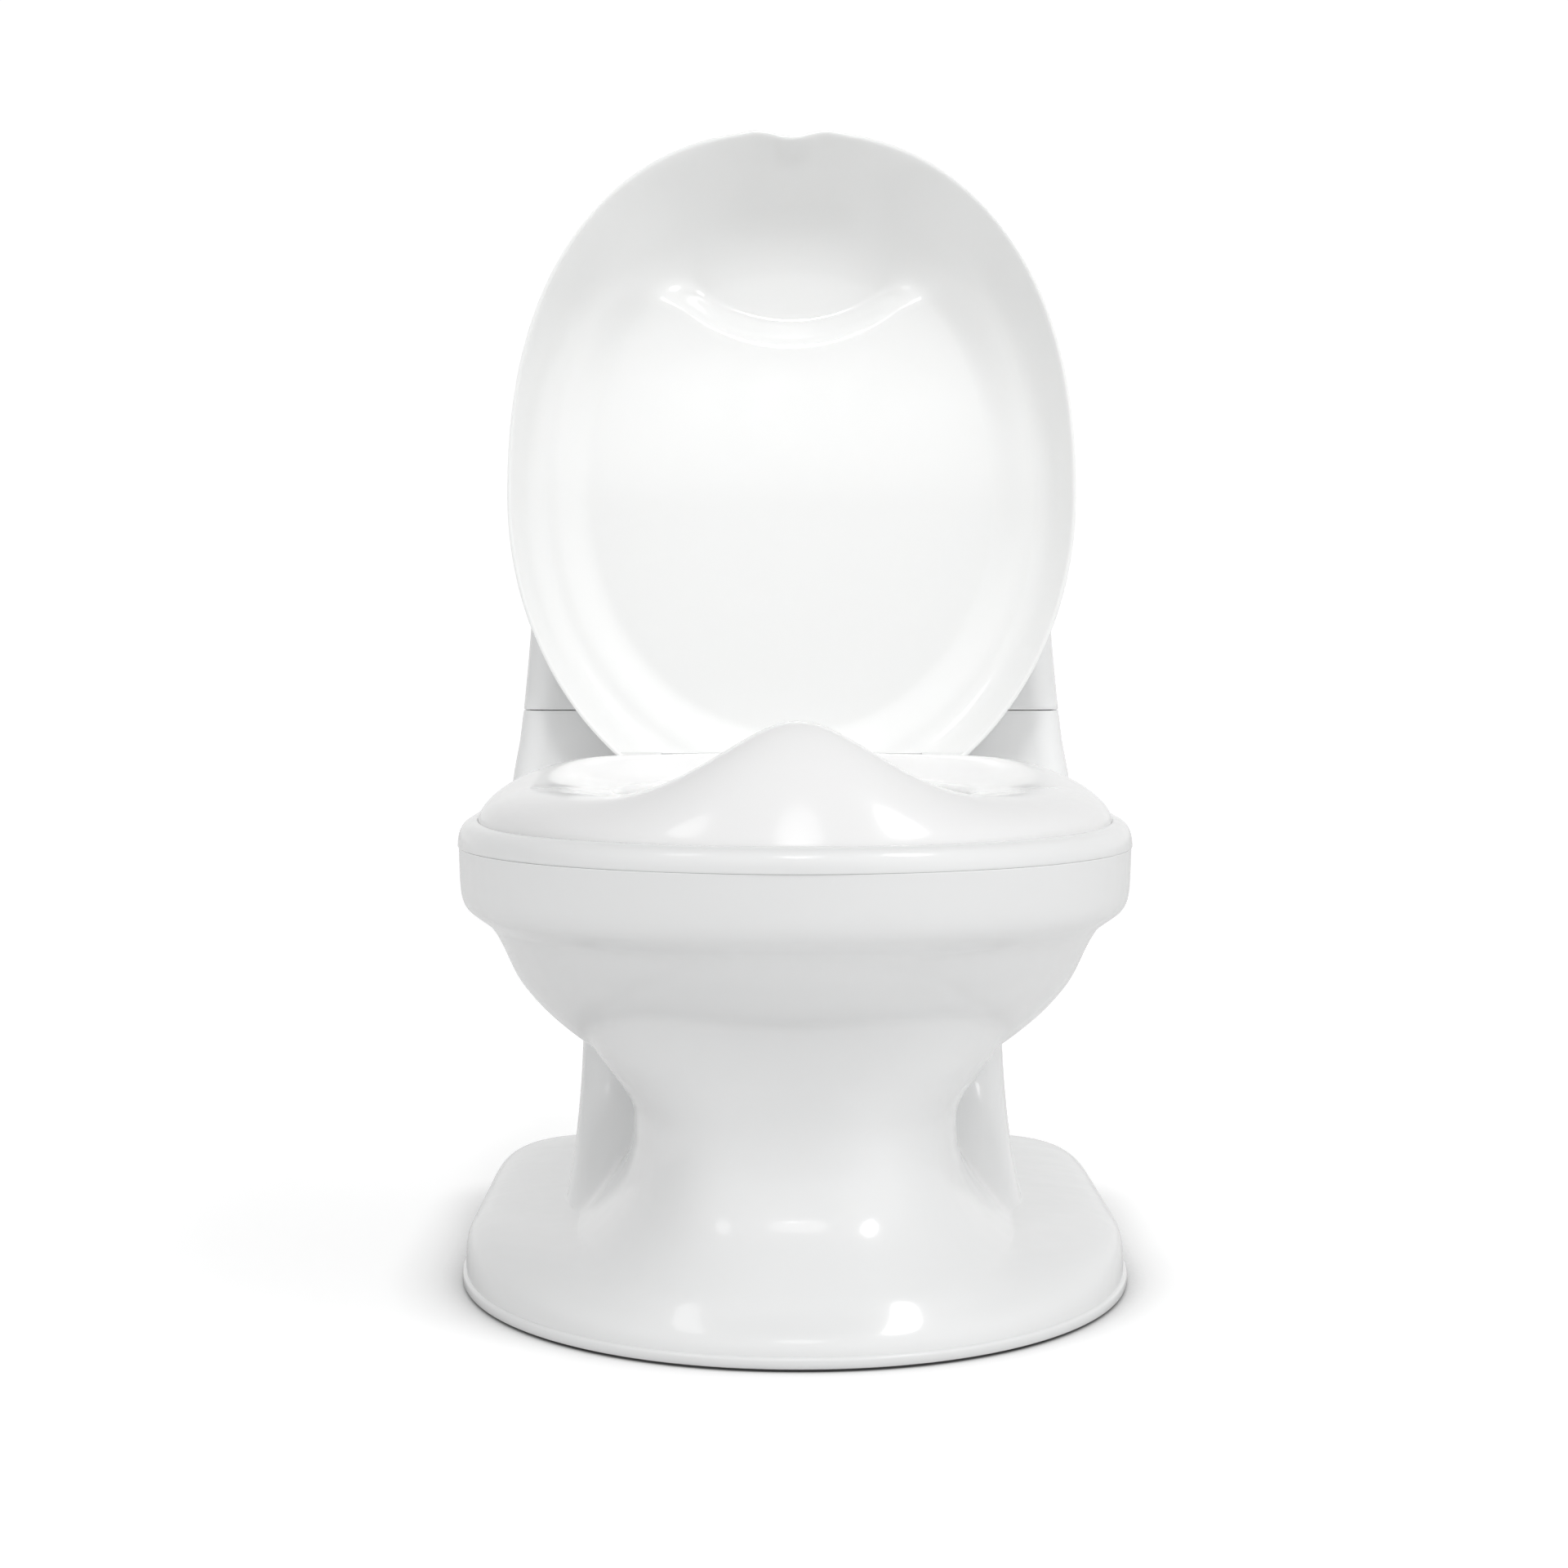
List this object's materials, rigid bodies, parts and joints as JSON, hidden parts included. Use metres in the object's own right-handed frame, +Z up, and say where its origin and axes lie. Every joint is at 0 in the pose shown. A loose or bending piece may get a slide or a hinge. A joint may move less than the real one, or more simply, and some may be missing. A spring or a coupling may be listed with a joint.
{
  "type": "potty training chair",
  "caption": "Toddler's toilet-shaped potty chair: hollow foot and bowl, seat with splash guard, lift-out pan, dished lid, tank with a hinged cover.",
  "frame": {"origin": "on the floor, in the middle of the foot's width and length", "axes": "+Z up, -Y towards the front of the chair, where the child's feet are, +X to the right seen from the front"},
  "size_m": [0.282, 0.394, 0.5066],
  "materials": {
    "shell_plastic": "glossy white moulding",
    "seat_plastic": "glossy white moulding",
    "lid_plastic": "glossy white moulding",
    "pan_plastic": "glossy white moulding",
    "grey_plastic": "satin off-white",
    "module_plastic": "fine matt texture",
    "rubber": "matt, soft",
    "steel": "zinc plated",
    "board": "satin lacquer",
    "black_plastic": "matt",
    "cell": "plain printed sleeve without text"
  },
  "bodies": {
    "base": {"base_shell": "shell_plastic", "upper_shell": "shell_plastic", "foot_pad_front_left": "rubber", "foot_pad_front_right": "rubber", "foot_pad_rear_left": "rubber", "foot_pad_rear_right": "rubber", "shell_screw_1": "steel", "shell_screw_2": "steel", "shell_screw_3": "steel", "shell_screw_4": "steel", "hinge_pin_left": "grey_plastic", "hinge_pin_right": "grey_plastic", "tank_hinge_pin_left": "steel", "tank_hinge_pin_right": "steel"},
    "seat": {"seat_ring": "seat_plastic", "seat_bumper_front_left": "rubber", "seat_bumper_front_right": "rubber", "seat_bumper_rear_left": "rubber", "seat_bumper_rear_right": "rubber"},
    "lid": {"lid": "lid_plastic"},
    "pan": {"pan": "pan_plastic"},
    "tank_cover": {"tank_cover": "shell_plastic", "button_spring": "steel", "sound_module_case": "module_plastic", "circuit_board": "board", "tact_switch": "black_plastic", "speaker": "black_plastic", "battery_left": "cell", "battery_right": "cell"},
    "flush_button": {"flush_button": "grey_plastic"},
    "battery_door": {"battery_door": "module_plastic", "battery_door_screw": "steel"}
  },
  "joints": [
    {"name": "lid_hinge", "type": "hinge", "parent": "base", "child": "lid", "pos_m": [0, 0.108, 0.205], "axis": [-1, 0, 0], "range_deg": [-95, 0]},
    {"name": "seat_hinge", "type": "hinge", "parent": "base", "child": "seat", "pos_m": [0, 0.108, 0.205], "axis": [-1, 0, 0], "range_deg": [0, 88]},
    {"name": "pan_lift", "type": "slide", "parent": "base", "child": "pan", "axis": [0, 0, 1], "range_m": [0, 0.25]},
    {"name": "tank_cover_hinge", "type": "hinge", "parent": "base", "child": "tank_cover", "pos_m": [0, 0.1914, 0.2336], "axis": [-1, 0, 0], "range_deg": [0, 90]},
    {"name": "flush_button_press", "type": "slide", "parent": "tank_cover", "child": "flush_button", "axis": [0, 0, -1], "range_m": [0, 0.0025], "stiffness_N_per_m": 200, "springref_m": -0.006, "deforming": ["button_spring"]},
    {"name": "battery_door_slide", "type": "slide", "parent": "tank_cover", "child": "battery_door", "axis": [0, 0, -1], "range_m": [0, 0.03], "stiffness_N_per_m": 60, "springref_m": -0.008}
  ]
}
